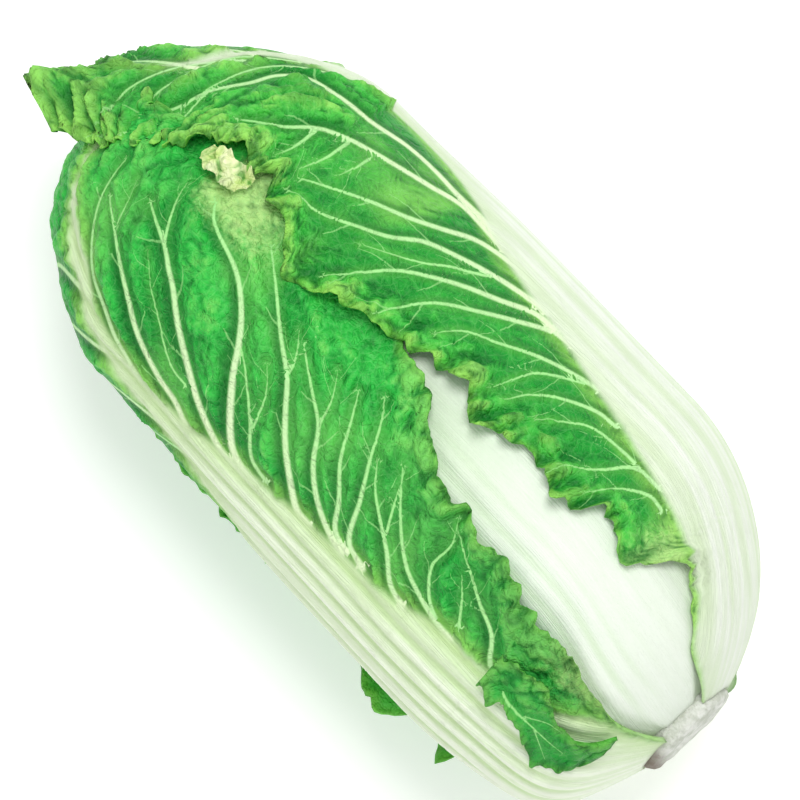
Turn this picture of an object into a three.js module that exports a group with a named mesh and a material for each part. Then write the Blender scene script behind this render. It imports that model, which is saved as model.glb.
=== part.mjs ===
// A head of napa cabbage, lying on its side as it does on a table.
// X runs along the head: the cut stem faces +X and the leaf tips meet at -X. +Z is up.
// Every leaf is a closed shell of its own that grows from the stem and wraps the leaves inside it.
// Sizes are in millimetres and angles in degrees.

import * as THREE from 'three';
import { mergeVertices } from 'three/addons/utils/BufferGeometryUtils.js';

// ---- Driving dimensions ----

const barrelRadius = 75; // girth of the closed head
const barrelLength = 150; // stretch of even girth between base and crown
const shoulderReach = 86; // from the barrel to where the rounded base would close
const crownReach = 77; // from the barrel to the pole where the tips meet
const flattening = 7; // how far the head's own weight presses its underside in
const stemRadius = 21; // where the outermost leaves leave the stem
const stemTaper = 0.27; // how much thinner the stem is for each millimetre further in
const stemProud = 3; // the cut face stands this far out of the leaf bases
const stemBevel = 1; // worn rim of the cut face
const stemClearance = 0.7; // between the stem and the leaf bases
const baseTuck = 0.75; // how far an inner leaf starts behind an outer one, for each millimetre further in
const bladeThickness = 2.4; // green blade with its crinkles
const petioleThickness = 6.5; // white rib of a wrapper leaf
const innerPetioleThickness = 4.5; // white rib of the leaf under the wrappers
const heartThickness = 4; // rib of a heart leaf
const leafGap = 1.5; // air between one leaf and the next
const tipCurl = 20; // how far the outermost leaf's tip curls out from the crown
const heartLeaves = 8;
const heartTurn = 137.5; // from one heart leaf to the next, round the stem
const chordSag = 0.3; // how far a facet may cut inside the true curve
const flatBlend = 3; // how gently the flat underside turns up into the sides

const shoulderPower = 2.3;
const crownPower = 2.3;
const shoulderX = barrelLength / 2;
const crownX = shoulderX - barrelLength;
const restHeight = barrelRadius - flattening; // the head's axis above the table

// How far under the head's outer surface each leaf lies.
const wrapperDepth = 0;
const tuckedDepth = bladeThickness + leafGap;
const centreDepth = petioleThickness + leafGap;
const heartDepth = centreDepth + innerPetioleThickness + leafGap;
const heartPitch = heartThickness + leafGap;
const budDepth = heartDepth + heartLeaves * heartPitch;
const budRadius = barrelRadius - budDepth;

// The flattened underside fades out towards the bud.
const flatShare = (restHeight - budRadius) / budDepth;

// A place along a leaf is a number: 0 at the stem, 1 where the barrel starts, 2 where the crown starts, 3 at the pole.
const barrelStart = 1;
const crownStart = 2;

// ---- Helpers ----

const radians = THREE.MathUtils.degToRad;
const smooth = THREE.MathUtils.smoothstep;

// A smooth value along a leaf, from [place, value] stations.
function along(stations, place) {
  const last = stations.length - 1;
  if (place <= stations[0][0]) return stations[0][1];
  if (place >= stations[last][0]) return stations[last][1];
  let i = 0;
  while (place > stations[i + 1][0]) i++;
  const [from, a] = stations[i];
  const [to, b] = stations[i + 1];
  const before = stations[Math.max(0, i - 1)];
  const after = stations[Math.min(last, i + 2)];
  const t = (place - from) / (to - from);
  const slopeA = ((b - before[1]) / (to - before[0])) * (to - from);
  const slopeB = ((after[1] - a) / (after[0] - from)) * (to - from);
  const t2 = t * t;
  const t3 = t2 * t;
  return a * (2 * t3 - 3 * t2 + 1) + slopeA * (t3 - 2 * t2 + t) + b * (3 * t2 - 2 * t3) + slopeB * (t3 - t2);
}

// Unit vector out of the axis, at an angle from straight up towards +Y.
function outwards(angle) {
  return new THREE.Vector3(0, Math.sin(angle), Math.cos(angle));
}

// ---- The head's surface, at any depth ----

function stemRadiusAt(depth) {
  return stemRadius - stemTaper * depth;
}

// The angle round the shoulder at which a leaf of this depth meets the stem.
function stemAngle(depth) {
  return Math.acos(stemRadiusAt(depth) / (barrelRadius - depth));
}

function shoulderAt(angle, depth) {
  const reach = shoulderReach - baseTuck * depth;
  return { x: shoulderX + reach * Math.sin(angle) ** (2 / shoulderPower), r: (barrelRadius - depth) * Math.cos(angle) };
}

// The underside is pressed flat, and turns up into the sides over a short blend.
function pressed(z, depth) {
  const floor = depth * flatShare - restHeight;
  const near = Math.max(0, flatBlend - Math.abs(z - floor));
  return Math.max(z, floor) + near ** 2 / (4 * flatBlend);
}

// A point on the surface: place is how far along a leaf, centre the angle of the leaf's centre line round the axis, and
// side the angle from that line round the head. Past crownStart the cross-sections swing over the crown.
function headPoint(place, centre, side, depth) {
  const ahead = outwards(radians(centre));
  const across = outwards(radians(centre + 90));
  const a = radians(side);
  const round = ahead.clone().multiplyScalar(Math.cos(a)).addScaledVector(across, Math.sin(a));
  let point;
  if (place < barrelStart) {
    const { x, r } = shoulderAt(stemAngle(depth) * (barrelStart - place), depth);
    point = round.multiplyScalar(r).setX(x);
  } else if (place < crownStart) {
    point = round.multiplyScalar(barrelRadius - depth).setX(shoulderX - barrelLength * (place - barrelStart));
  } else {
    const over = radians(90 * (place - crownStart));
    const swung = ahead.clone().multiplyScalar(Math.cos(over)).setX(-Math.sin(over));
    const way = swung.multiplyScalar(Math.cos(a)).addScaledVector(across, Math.sin(a));
    const lengthwise = Math.abs(way.x) / crownReach;
    const crosswise = Math.hypot(way.y, way.z) / barrelRadius;
    const reach = (lengthwise ** crownPower + crosswise ** crownPower) ** (-1 / crownPower);
    point = way.multiplyScalar(reach - depth).add(new THREE.Vector3(crownX, 0, 0));
  }
  point.z = pressed(point.z, depth);
  return point;
}

// ---- Leaves ----

// Enough facets to keep within chordSag on a curve of this radius.
function facets(degrees, radius) {
  return Math.max(2, Math.ceil(radians(degrees) / (2 * Math.acos(1 - chordSag / radius))));
}

// Places along a leaf where its cross-sections stand.
function stopsOf(end, depth) {
  const radius = barrelRadius - depth;
  const stops = [];
  const run = (from, to, count) => {
    for (let i = 0; i < count; i++) stops.push(from + ((to - from) * i) / count);
  };
  run(0, barrelStart, facets(THREE.MathUtils.radToDeg(stemAngle(depth)), radius));
  run(barrelStart, crownStart, 5);
  run(crownStart, end, facets(90 * (end - crownStart), radius));
  stops.push(end);
  return stops;
}

// A leaf is a box of many cells, bent round the head. Its spec holds the angle of its centre line and, along the leaf:
// its two margins and its midrib as angles from that line, the half width of the white rib, and how deep a point on the
// outer face lies.
function makeLeaf(name, spec, material) {
  const stops = stopsOf(spec.end, spec.depth);
  const widest = Math.max(...stops.map((stop) => along(spec.high, stop) - along(spec.low, stop)));
  const columns = facets(widest, barrelRadius - spec.depth);
  const box = new THREE.BoxGeometry(1, 1, 1, columns, stops.length - 1, 1);
  box.deleteAttribute('normal');
  box.deleteAttribute('uv');
  const corners = box.getAttribute('position');
  for (let i = 0; i < corners.count; i++) {
    const place = stops[Math.round((corners.getY(i) + 0.5) * (stops.length - 1))];
    const share = corners.getX(i) + 0.5;
    const side = THREE.MathUtils.lerp(along(spec.low, place), along(spec.high, place), share);
    const rib = Math.max(0, 1 - ((side - along(spec.midrib, place)) / along(spec.rib, place)) ** 2);
    const outer = spec.outer(place, side);
    const thickness = bladeThickness + (along(ribThickness(spec.thick), place) - bladeThickness) * rib;
    const depth = corners.getZ(i) > 0 ? outer : outer + thickness;
    const p = headPoint(place, spec.centre, side, depth);
    corners.setXYZ(i, p.x, p.y, p.z);
  }
  const mesh = new THREE.Mesh(mergeVertices(box), material);
  mesh.name = name;
  return mesh;
}

// How a white rib thins from the stem to the tip.
function ribThickness(thick) {
  return [[0, thick], [1.2, thick], [crownStart, bladeThickness + 0.4], [2.5, bladeThickness]];
}

// Lies on the right, its near margin over the left leaf and its far margin under the lower leaf. Its tip folds over the
// crown and curls outwards.
const rightLeaf = {
  end: 3.04,
  depth: wrapperDepth,
  centre: 60,
  thick: petioleThickness,
  midrib: [[0, 24], [1.3, 20], [2, 17], [2.37, -2], [2.6, -15], [2.88, -21]],
  low: [
    [0, -29], [0.65, -31], [0.89, -41], [1.17, -44], [1.31, -47], [1.48, -44], [1.59, -52], [1.85, -55], [1.95, -53],
    [2.2, -43], [2.42, -44], [2.87, -42], [3.04, -32],
  ],
  high: [[0, 66], [0.67, 66], [1, 74], [1.37, 78], [2, 76], [2.43, 58], [2.72, 36], [2.89, 14], [3.04, -6]],
  rib: [[0, 52], [1.03, 40], [1.43, 24], [1.77, 10], [2, 6], [3.04, 4]],
  outer: (place, side) => {
    const underLower = smooth(side, 22, 42) * smooth(place, 0.3, 0.8);
    return wrapperDepth + tuckedDepth * underLower - tipCurl * smooth(place, 2.77, 3.04);
  },
};

// Lies on the left. Its near margin slips under the right leaf, its far margin under the lower leaf.
const leftLeaf = {
  end: 2.82,
  depth: wrapperDepth,
  centre: -50,
  thick: petioleThickness,
  midrib: [[0, -25], [1.47, -20], [1.73, -6], [2.27, 2], [2.44, 8], [2.82, 8]],
  low: [[0, -75], [0.67, -75], [1, -80], [1.63, -82], [2, -78], [2.43, -58], [2.72, -36], [2.82, -18]],
  high: [
    [0, 28], [0.45, 33], [0.75, 35], [0.96, 39], [1.17, 42], [1.34, 48], [1.43, 57], [1.5, 59], [1.63, 64],
    [1.87, 60], [2.3, 58], [2.55, 50], [2.72, 36], [2.82, 20],
  ],
  rib: [[0, 50], [1, 40], [1.43, 24], [1.77, 11], [2, 6], [2.82, 4]],
  outer: (place, side) => {
    const underRight = smooth(side, 36, 54) * smooth(place, 1.38, 1.54);
    const underLower = smooth(-side, 26, 46) * smooth(place, 0.3, 0.8);
    const overCrown = smooth(place, 1.7, 2.03);
    return wrapperDepth + tuckedDepth * Math.max(underRight, underLower, overCrown);
  },
};

// Lies underneath and carries the head. Its margins lap over the far margins of both wrapper leaves.
const lowerLeaf = {
  end: 2.51,
  depth: wrapperDepth,
  centre: 180,
  thick: petioleThickness,
  midrib: [[0, 0], [2.51, 0]],
  low: [[0, -50], [0.71, -50], [1.03, -66], [1.37, -74], [1.8, -72], [2.04, -62], [2.3, -46], [2.43, -30], [2.51, -14]],
  high: [[0, 50], [0.71, 50], [1.03, 66], [1.37, 74], [1.8, 72], [2.04, 62], [2.3, 46], [2.43, 30], [2.51, 14]],
  rib: [[0, 40], [1, 34], [1.43, 24], [1.77, 11], [2, 6], [2.51, 4]],
  outer: () => wrapperDepth,
};

// Lies under both wrapper leaves. Its broad white rib swells out between them.
const centreLeaf = {
  end: 2.64,
  depth: centreDepth,
  centre: 5,
  thick: innerPetioleThickness,
  midrib: [[0, 0], [2.64, 0]],
  low: [[0, -28], [0.57, -40], [1, -58], [1.77, -64], [2.13, -56], [2.47, -36], [2.64, -16]],
  high: [[0, 22], [0.57, 38], [1, 58], [1.77, 64], [2.13, 56], [2.47, 36], [2.64, 16]],
  rib: [[0, 34], [1.03, 34], [1.43, 24], [1.77, 10], [2, 6], [2.64, 4]],
  outer: (place, side) => {
    const swell = Math.cos(radians(90 * Math.min(1, Math.abs(side - 1) / 21)));
    return centreDepth - (centreDepth - tuckedDepth) * swell * (1 - smooth(place, 1.15, 1.55));
  },
};

// The heart: one leaf inside the next, each turned by the golden angle.
function heartLeaf(index) {
  const depth = heartDepth + index * heartPitch;
  const end = 2.82;
  return {
    end,
    depth,
    centre: (centreLeaf.centre + heartTurn * (index + 1)) % 360,
    thick: heartThickness,
    midrib: [[0, 0], [end, 0]],
    low: [[0, -80], [0.57, -84], [2, -92], [2.48, -70], [end, -30]],
    high: [[0, 80], [0.57, 84], [2, 92], [2.48, 70], [end, 30]],
    rib: [[0, 40], [1.03, 34], [1.43, 22], [2, 8], [end, 6]],
    outer: () => depth,
  };
}

// ---- Stem and bud ----

// Turns an outline of [x, radius] points about the head's axis.
function turned(name, outline, sides, material) {
  const profile = outline.map(([x, r]) => new THREE.Vector2(r, x));
  const geometry = new THREE.LatheGeometry(profile, sides);
  geometry.deleteAttribute('normal');
  geometry.deleteAttribute('uv');
  geometry.rotateZ(-Math.PI / 2);
  const mesh = new THREE.Mesh(mergeVertices(geometry), material);
  mesh.name = name;
  return mesh;
}

// The stem is the cone that all the leaves grow from, cut off square where the head was harvested.
function stemOutline() {
  const outline = [];
  const steps = 6;
  for (let i = steps; i >= 0; i--) {
    const depth = (budDepth * i) / steps;
    const { x } = shoulderAt(stemAngle(depth), depth);
    outline.push([x, stemRadiusAt(depth) - stemClearance]);
  }
  const innerEnd = outline[0][0];
  const outerEnd = outline[steps][0];
  outline.unshift([innerEnd, 0]);
  outline.push([outerEnd + stemProud, stemRadius - stemClearance - stemBevel]);
  outline.push([outerEnd + stemProud, 0]);
  return outline;
}

// The bud is the knot of unopened leaves in the middle.
function budOutline() {
  const foot = shoulderAt(stemAngle(budDepth), budDepth).x - leafGap;
  const outline = [[crownX - (crownReach - budDepth), 0]];
  const steps = 6;
  for (let i = 1; i <= steps; i++) {
    const over = (Math.PI / 2) * (1 - i / steps);
    outline.push([crownX - (crownReach - budDepth) * Math.sin(over), budRadius * Math.cos(over)]);
  }
  outline.push([shoulderX - leafGap, budRadius]);
  for (let i = 1; i <= 3; i++) {
    const angle = (stemAngle(budDepth) * i) / 3;
    const { x, r } = shoulderAt(angle, budDepth);
    outline.push([Math.min(x, foot), r]);
  }
  outline.push([foot, 0]);
  return outline;
}

// ---- Materials ----

const greenBlade = new THREE.MeshStandardMaterial({ color: 0x4fae4b, roughness: 0.45, metalness: 0 });
const whitePetiole = new THREE.MeshStandardMaterial({ color: 0xe9f2dc, roughness: 0.4, metalness: 0 });
const paleHeart = new THREE.MeshStandardMaterial({ color: 0xe6efa8, roughness: 0.45, metalness: 0 });
const cutStem = new THREE.MeshStandardMaterial({ color: 0xd9dccb, roughness: 0.7, metalness: 0 });

// ---- The head ----

const head = new THREE.Group();
head.add(makeLeaf('right_wrapper_leaf', rightLeaf, greenBlade));
head.add(makeLeaf('left_wrapper_leaf', leftLeaf, greenBlade));
head.add(makeLeaf('lower_leaf', lowerLeaf, greenBlade));
head.add(makeLeaf('centre_leaf', centreLeaf, whitePetiole));
for (let i = 0; i < heartLeaves; i++) {
  head.add(makeLeaf('heart_leaf_' + (i + 1), heartLeaf(i), paleHeart));
}
head.add(turned('heart_bud', budOutline(), 16, paleHeart));
head.add(turned('stem', stemOutline(), 20, cutStem));

// The origin is under the middle of the head, on the surface that it lies on.
const extent = new THREE.Box3().setFromObject(head);
const middle = extent.getCenter(new THREE.Vector3());
head.position.set(-middle.x, -middle.y, -extent.min.z);
const napaCabbage = new THREE.Group();
napaCabbage.add(head);

export default napaCabbage;
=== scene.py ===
import math

import bmesh
import bpy
import numpy as np
from mathutils import Matrix, Vector, kdtree


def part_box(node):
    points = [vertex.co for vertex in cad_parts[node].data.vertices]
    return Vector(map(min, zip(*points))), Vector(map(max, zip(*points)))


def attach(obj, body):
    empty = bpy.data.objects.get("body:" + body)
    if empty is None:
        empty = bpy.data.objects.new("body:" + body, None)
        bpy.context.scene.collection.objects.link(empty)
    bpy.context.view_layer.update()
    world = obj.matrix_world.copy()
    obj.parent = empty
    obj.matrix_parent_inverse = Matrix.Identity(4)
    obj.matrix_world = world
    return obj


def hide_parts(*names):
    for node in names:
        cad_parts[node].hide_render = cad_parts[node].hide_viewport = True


# A head of napa cabbage on its side. X runs along the head to the cut stem, Z is up.
# Shapes are worked out in millimetres and degrees, and written to the meshes in metres.

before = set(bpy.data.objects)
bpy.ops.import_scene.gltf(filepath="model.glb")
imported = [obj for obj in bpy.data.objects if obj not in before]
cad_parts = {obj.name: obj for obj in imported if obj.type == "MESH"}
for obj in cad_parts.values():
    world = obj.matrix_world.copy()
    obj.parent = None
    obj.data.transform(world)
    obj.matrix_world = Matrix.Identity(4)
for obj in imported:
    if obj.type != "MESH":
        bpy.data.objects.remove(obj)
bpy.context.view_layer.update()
print("frame loaded")

mm = 0.001

# The head's surface, the same one that the CAD leaves follow.
head = {
    "girth": 75.0, "barrel": 150.0, "shoulderReach": 86.0, "crownReach": 77.0, "roundness": 2.3,
    "stemRadius": 21.0, "stemTaper": 0.27, "baseTuck": 0.75, "stemProud": 3.0, "budDepth": 58.0,
    "flattening": 7.0, "flatBlend": 3.0, "shoulderPinch": 2.0, "crownPinch": 6.5, "baseSway": 7.0,
}

# Depths under that surface at which the leaves lie.
layers = {"tucked": 3.9, "centre": 8.0, "heart": 14.0, "heartPitch": 5.5, "heartLeaves": 8}

barrel = head["barrel"]

stemLow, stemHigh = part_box("stem")
axisY = (stemLow.y + stemHigh.y) / 2 / mm
axisZ = (stemLow.z + stemHigh.z) / 2 / mm
baseAngle = math.acos(head["stemRadius"] / head["girth"])
baseReach = head["shoulderReach"] * math.sin(baseAngle) ** (2 / head["roundness"])
shoulderX = stemHigh.x / mm - head["stemProud"] - baseReach
crownX = shoulderX - barrel
restHeight = head["girth"] - head["flattening"]
flatShare = (restHeight - head["girth"] + head["budDepth"]) / head["budDepth"]


def smooth(value, low, high):  # 0 below low, 1 above high
    t = np.clip((np.asarray(value, float) - low) / (high - low), 0, 1)
    return t * t * (3 - 2 * t)


def along(stations, place):  # a smooth curve through (place, value) stations
    knots, values = np.array(stations, float).T
    place = np.clip(np.asarray(place, float), knots[0], knots[-1])
    i = np.clip(np.searchsorted(knots, place, side="right") - 1, 0, len(knots) - 2)
    before = np.maximum(i - 1, 0)
    after = np.minimum(i + 2, len(knots) - 1)
    step = knots[i + 1] - knots[i]
    slopeA = (values[i + 1] - values[before]) / (knots[i + 1] - knots[before]) * step
    slopeB = (values[after] - values[i]) / (knots[after] - knots[i]) * step
    t = (place - knots[i]) / step
    return (values[i] * (2 * t**3 - 3 * t**2 + 1) + slopeA * (t**3 - 2 * t**2 + t)
            + values[i + 1] * (3 * t**2 - 2 * t**3) + slopeB * (t**3 - t**2))


rng = np.random.default_rng(7)
shuffle = rng.permutation(256)
slants = rng.normal(size=(256, 3))
slants /= np.linalg.norm(slants, axis=1)[:, None]


def softNoise(points, size, seed=0):  # smooth bumps of about this size, from -1 to 1
    q = np.asarray(points, float) / size + seed * 7.31
    cell = np.floor(q).astype(int)
    f = q - cell
    ease = f * f * f * (f * (f * 6 - 15) + 10)
    total = 0
    for corner in np.ndindex(2, 2, 2):
        c = cell + corner
        h = shuffle[(shuffle[(shuffle[c[..., 0] & 255] + c[..., 1]) & 255] + c[..., 2]) & 255]
        weight = np.prod(np.where(np.array(corner) == 1, ease, 1 - ease), axis=-1)
        total = total + weight * np.sum(slants[h] * (f - corner), axis=-1)
    return total * 1.5


def lineNoise(value, size, seed=0):  # the same along one line
    value = np.asarray(value, float)
    return softNoise(np.stack([value, value * 0 + 3.3, value * 0 + 5.7], axis=-1), size, seed)


def outwards(angle):  # unit vector off the axis, from straight up towards +Y
    return np.array([0, math.sin(math.radians(angle)), math.cos(math.radians(angle))])


def baseSway(x):  # the foot of the head leans a little to one side
    return head["baseSway"] * smooth(x, shoulderX, shoulderX + baseReach)


# Place runs 0 at the stem, 1 at the shoulder, 2 at the crown, 3 over the far end. Side is in degrees
# round the head from the leaf's centre, and depth in millimetres under the surface.
def headPoint(place, centre, side, depth):
    place, side, depth = np.broadcast_arrays(*(np.asarray(v, float) for v in (place, side, depth)))
    a = np.radians(side)[..., None]
    ahead = outwards(centre)
    across = outwards(centre + 90)
    ring = np.cos(a) * ahead + np.sin(a) * across
    girth = head["girth"]
    power = head["roundness"]
    fullAngle = np.arccos((head["stemRadius"] - head["stemTaper"] * depth) / (girth - depth))
    angle = fullAngle * np.clip(1 - place, 0, 1)
    base = ring * ((girth - depth) * np.cos(angle))[..., None]
    baseLength = head["shoulderReach"] - head["baseTuck"] * depth
    base[..., 0] = shoulderX + baseLength * np.sin(angle) ** (2 / power)
    pinch = head["shoulderPinch"] * smooth(place, 1.5, 2.0)
    middle = ring * (girth - depth - pinch)[..., None]
    middle[..., 0] = shoulderX - barrel * (place - 1)
    over = np.radians(90 * np.clip(place - 2, 0, None))[..., None]
    swung = np.cos(over) * ahead - np.sin(over) * np.array([1, 0, 0])
    way = np.cos(a) * swung + np.sin(a) * across
    reach = ((np.abs(way[..., 0]) / head["crownReach"]) ** power
             + (np.hypot(way[..., 1], way[..., 2]) / girth) ** power) ** (-1 / power)
    pinch = head["shoulderPinch"] + head["crownPinch"] * smooth(-way[..., 0], 0, 0.6)
    crown = way * (reach - depth - pinch)[..., None] + np.array([crownX, 0, 0])
    point = np.where((place < 1)[..., None], base, np.where((place < 2)[..., None], middle, crown))
    floor = np.minimum(depth, head["budDepth"]) * flatShare - restHeight
    near = np.maximum(0, head["flatBlend"] - np.abs(point[..., 2] - floor))
    point[..., 2] = np.maximum(point[..., 2], floor) + near**2 / (4 * head["flatBlend"])
    point[..., 1] -= baseSway(point[..., 0])
    return point + np.array([0, axisY, axisZ])


def headNormal(points):  # about the way out of the head at these points
    spine = np.zeros_like(points)
    spine[..., 0] = np.clip(points[..., 0], crownX, shoulderX + 20)
    spine[..., 1] = axisY
    spine[..., 2] = axisZ
    way = points - spine
    return way / np.linalg.norm(way, axis=-1)[..., None]


def sideMm(place):  # millimetres across the leaf for one degree of side
    return np.radians(1) * head["girth"] * (0.3 + 0.7 * smooth(place, -0.1, 0.8))


# materials

def tint(red, green, blue):  # a screen colour, 0 to 255, as the shader wants it
    linear = [((c / 255 + 0.055) / 1.055) ** 2.4 if c > 10 else c / 255 / 12.92 for c in (red, green, blue)]
    return (*linear, 1.0)


def addNode(tree, kind, **settings):
    node = tree.nodes.new(kind)
    for key, value in settings.items():
        setattr(node, key, value)
    return node


def feed(tree, socket, value):
    if isinstance(value, bpy.types.NodeSocket):
        tree.links.new(value, socket)
    else:
        socket.default_value = value


def calc(tree, operation, *values):
    node = addNode(tree, "ShaderNodeMath", operation=operation)
    for socket, value in zip(node.inputs, values):
        feed(tree, socket, value)
    return node.outputs[0]


def fade(tree, value, low, high, start=0.0, end=1.0):  # a soft step from start to end
    node = addNode(tree, "ShaderNodeMapRange", interpolation_type="SMOOTHSTEP")
    for socket, setting in zip(node.inputs, (value, low, high, start, end)):
        feed(tree, socket, setting)
    return node.outputs[0]


def times(tree, first, second):
    return calc(tree, "MULTIPLY", first, second)


def plus(tree, first, second):
    return calc(tree, "ADD", first, second)


def swing(tree, noise, amount):  # a noise of 0 to 1 as a swing about zero
    return times(tree, calc(tree, "SUBTRACT", noise, 0.5), amount)


def mixTint(tree, amount, first, second):
    node = addNode(tree, "ShaderNodeMix", data_type="RGBA")
    for socket, value in zip((node.inputs[0], node.inputs[6], node.inputs[7]), (amount, first, second)):
        feed(tree, socket, value)
    return node.outputs[2]


def speckle(tree, vector, scale, detail=2.0, roughness=0.5, distortion=0.0, output="Fac"):
    node = addNode(tree, "ShaderNodeTexNoise")
    feed(tree, node.inputs["Vector"], vector)
    settings = {"Scale": scale, "Detail": detail, "Roughness": roughness, "Distortion": distortion}
    for label, value in settings.items():
        node.inputs[label].default_value = value
    return node.outputs[output]


def stretched(tree, vector, scale):
    node = addNode(tree, "ShaderNodeMapping")
    feed(tree, node.inputs["Vector"], vector)
    node.inputs["Scale"].default_value = scale
    return node.outputs["Vector"]


def cellGap(tree, vector, scale):  # how far it is to the nearest cell wall
    node = addNode(tree, "ShaderNodeTexVoronoi", feature="DISTANCE_TO_EDGE")
    feed(tree, node.inputs["Vector"], vector)
    feed(tree, node.inputs["Scale"], scale)
    return node.outputs["Distance"]


def shiftVector(tree, operation, values):
    node = addNode(tree, "ShaderNodeVectorMath", operation=operation)
    for socket, value in values.items():
        feed(tree, node.inputs[socket], value)
    return node.outputs[0]


def onObject(tree):
    return addNode(tree, "ShaderNodeTexCoord").outputs["Object"]


def stored(tree, name, output="Fac"):  # values that makeLeaf keeps in the mesh
    return addNode(tree, "ShaderNodeAttribute", attribute_name=name).outputs[output]


def newMaterial(name):
    material = bpy.data.materials.new(name)
    material.use_nodes = True
    tree = material.node_tree
    return material, tree, tree.nodes["Principled BSDF"]


def addBump(tree, shader, height, strength, distance):
    bump = addNode(tree, "ShaderNodeBump")
    bump.inputs["Strength"].default_value = strength
    bump.inputs["Distance"].default_value = distance
    feed(tree, bump.inputs["Height"], height)
    feed(tree, shader.inputs["Normal"], bump.outputs[0])


def newGroup(name, inputs, outputs):
    group = bpy.data.node_groups.new(name, "ShaderNodeTree")
    for label, kind in inputs:
        group.interface.new_socket(label, in_out="INPUT", socket_type=kind)
    for label in outputs:
        group.interface.new_socket(label, in_out="OUTPUT", socket_type="NodeSocketFloat")
    return group, addNode(group, "NodeGroupInput").outputs, addNode(group, "NodeGroupOutput").inputs


def useGroup(tree, group, **values):
    node = addNode(tree, "ShaderNodeGroup")
    node.node_tree = group
    for label, value in values.items():
        feed(tree, node.inputs[label], value)
    return node.outputs


# The net of fine veins: a mask of the net, and a height that puffs up between its threads.
netPlan = {"wanderScale": 140, "smallCells": 2.6, "waver": 0.006}


def makeVeinNet():
    group, given, out = newGroup(
        "vein_net",
        [("Place", "NodeSocketVector"), ("Cell", "NodeSocketFloat"), ("Waver", "NodeSocketFloat")],
        ["Net", "Puff"],
    )
    wander = speckle(group, given["Place"], netPlan["wanderScale"], 1, output="Color")
    offset = shiftVector(group, "SUBTRACT", {0: wander, 1: (0.5, 0.5, 0.5)})
    push = shiftVector(group, "SCALE", {0: offset, "Scale": given["Waver"]})
    moved = shiftVector(group, "ADD", {0: given["Place"], 1: push})
    big = cellGap(group, moved, given["Cell"])
    small = cellGap(group, moved, times(group, given["Cell"], netPlan["smallCells"]))
    thick = fade(group, big, 0.0, 0.06, 1, 0)
    thin = fade(group, small, 0.0, 0.08, 0.6, 0)
    feed(group, out["Net"], calc(group, "MAXIMUM", thick, thin))
    puff = plus(group, fade(group, big, 0.0, 0.35, 0, 0.7), fade(group, small, 0.0, 0.3, 0, 0.3))
    feed(group, out["Puff"], puff)
    return group


# Lengthwise fibres of a petiole, from the leaf's own chart.
def makeFibres():
    group, given, out = newGroup("petiole_fibres", [("Chart", "NodeSocketVector")], ["Fibre", "Cord"])
    fine = speckle(group, stretched(group, given["Chart"], (0.035, 1.5, 1)), 1.0, 3, 0.6)
    broad = speckle(group, stretched(group, given["Chart"], (0.008, 0.34, 1)), 1.0, 2, 0.5)
    feed(group, out["Fibre"], fade(group, fine, 0.35, 0.65))
    feed(group, out["Cord"], fade(group, broad, 0.38, 0.62))
    return group


veinNet = makeVeinNet()
fibres = makeFibres()


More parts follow.
